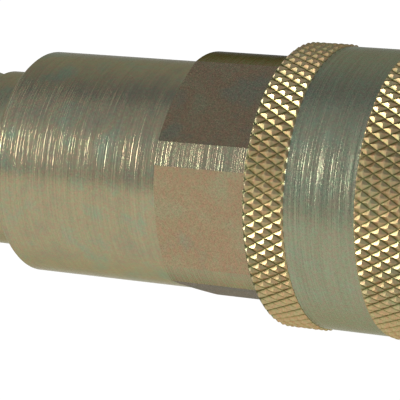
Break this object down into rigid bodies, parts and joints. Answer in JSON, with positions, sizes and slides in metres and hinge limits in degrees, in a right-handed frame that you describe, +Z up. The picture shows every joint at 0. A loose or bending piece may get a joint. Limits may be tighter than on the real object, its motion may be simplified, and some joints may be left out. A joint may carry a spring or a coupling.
{
  "type": "quick disconnect coupler",
  "caption": "Female hydraulic quick coupler with a knurled pull-back sleeve, ball lock, spring-loaded poppet valve, wrench flats and a threaded port stub.",
  "frame": {"origin": "centre of the shoulder that meets the port face, on the coupler's axis", "axes": "+X along the axis towards the socket, +Z up, -Y towards the viewer's side; the wrench flats are clocked as the object lies"},
  "size_m": [0.0901, 0.0354, 0.0354],
  "materials": {
    "zinc_body": "turned steel with yellow chromate zinc plating",
    "zinc_sleeve": "knurled and turned steel with yellow chromate zinc plating",
    "zinc_inner": "turned steel with thin zinc plating",
    "spring_steel": "drawn wire, zinc plated",
    "ball_steel": "polished hardened steel",
    "ring_steel": "phosphated spring steel",
    "black_rubber": "nitrile rubber, matte",
    "backup_plastic": "filled fluoropolymer, matte"
  },
  "bodies": {
    "coupler_body": {"rear_body": "zinc_body", "front_body": "zinc_inner", "valve_guide": "zinc_inner", "joint_seal": "black_rubber", "socket_seal": "black_rubber", "backup_ring": "backup_plastic", "retaining_ring": "ring_steel", "poppet_spring": "spring_steel"},
    "spring_carriage": {"spring_seat": "zinc_inner", "sleeve_spring": "spring_steel"},
    "pull_sleeve": {"sleeve": "zinc_sleeve"},
    "valve": {"poppet": "zinc_inner", "poppet_seal": "black_rubber"},
    "ball_1": {"locking_ball_1": "ball_steel"},
    "ball_2": {"locking_ball_2": "ball_steel"},
    "ball_3": {"locking_ball_3": "ball_steel"},
    "ball_4": {"locking_ball_4": "ball_steel"},
    "ball_5": {"locking_ball_5": "ball_steel"},
    "ball_6": {"locking_ball_6": "ball_steel"},
    "ball_7": {"locking_ball_7": "ball_steel"},
    "ball_8": {"locking_ball_8": "ball_steel"}
  },
  "joints": [
    {"name": "sleeve_spin", "type": "hinge", "parent": "coupler_body", "child": "spring_carriage", "pos_m": [0.04, 0, 0], "axis": [1, 0, 0], "continuous": true},
    {"name": "sleeve_slide", "type": "slide", "parent": "spring_carriage", "child": "pull_sleeve", "axis": [-1, 0, 0], "range_m": [0, 0.0055], "stiffness_N_per_m": 2500, "springref_m": -0.006, "deforming": ["sleeve_spring"]},
    {"name": "poppet_slide", "type": "slide", "parent": "coupler_body", "child": "valve", "axis": [-1, 0, 0], "range_m": [0, 0.005], "stiffness_N_per_m": 1500, "springref_m": -0.004, "deforming": ["poppet_spring"]},
    {"name": "ball_1_lift", "type": "slide", "parent": "coupler_body", "child": "ball_1", "axis": [0, -0.7071, 0.7071], "range_m": [0, 0.0009]},
    {"name": "ball_2_lift", "type": "slide", "parent": "coupler_body", "child": "ball_2", "axis": [0, -1, 0], "range_m": [0, 0.0009]},
    {"name": "ball_3_lift", "type": "slide", "parent": "coupler_body", "child": "ball_3", "axis": [0, -0.7071, -0.7071], "range_m": [0, 0.0009]},
    {"name": "ball_4_lift", "type": "slide", "parent": "coupler_body", "child": "ball_4", "axis": [0, 0, -1], "range_m": [0, 0.0009]},
    {"name": "ball_5_lift", "type": "slide", "parent": "coupler_body", "child": "ball_5", "axis": [0, 0.7071, -0.7071], "range_m": [0, 0.0009]},
    {"name": "ball_6_lift", "type": "slide", "parent": "coupler_body", "child": "ball_6", "axis": [0, 1, 0], "range_m": [0, 0.0009]},
    {"name": "ball_7_lift", "type": "slide", "parent": "coupler_body", "child": "ball_7", "axis": [0, 0.7071, 0.7071], "range_m": [0, 0.0009]},
    {"name": "ball_8_lift", "type": "slide", "parent": "coupler_body", "child": "ball_8", "axis": [0, 0, 1], "range_m": [0, 0.0009]}
  ],
  "couplings": [
    {"joint": "ball_1_lift", "follows": "sleeve_slide", "ratio": 0.16},
    {"joint": "ball_2_lift", "follows": "sleeve_slide", "ratio": 0.16},
    {"joint": "ball_3_lift", "follows": "sleeve_slide", "ratio": 0.16},
    {"joint": "ball_4_lift", "follows": "sleeve_slide", "ratio": 0.16},
    {"joint": "ball_5_lift", "follows": "sleeve_slide", "ratio": 0.16},
    {"joint": "ball_6_lift", "follows": "sleeve_slide", "ratio": 0.16},
    {"joint": "ball_7_lift", "follows": "sleeve_slide", "ratio": 0.16},
    {"joint": "ball_8_lift", "follows": "sleeve_slide", "ratio": 0.16}
  ]
}
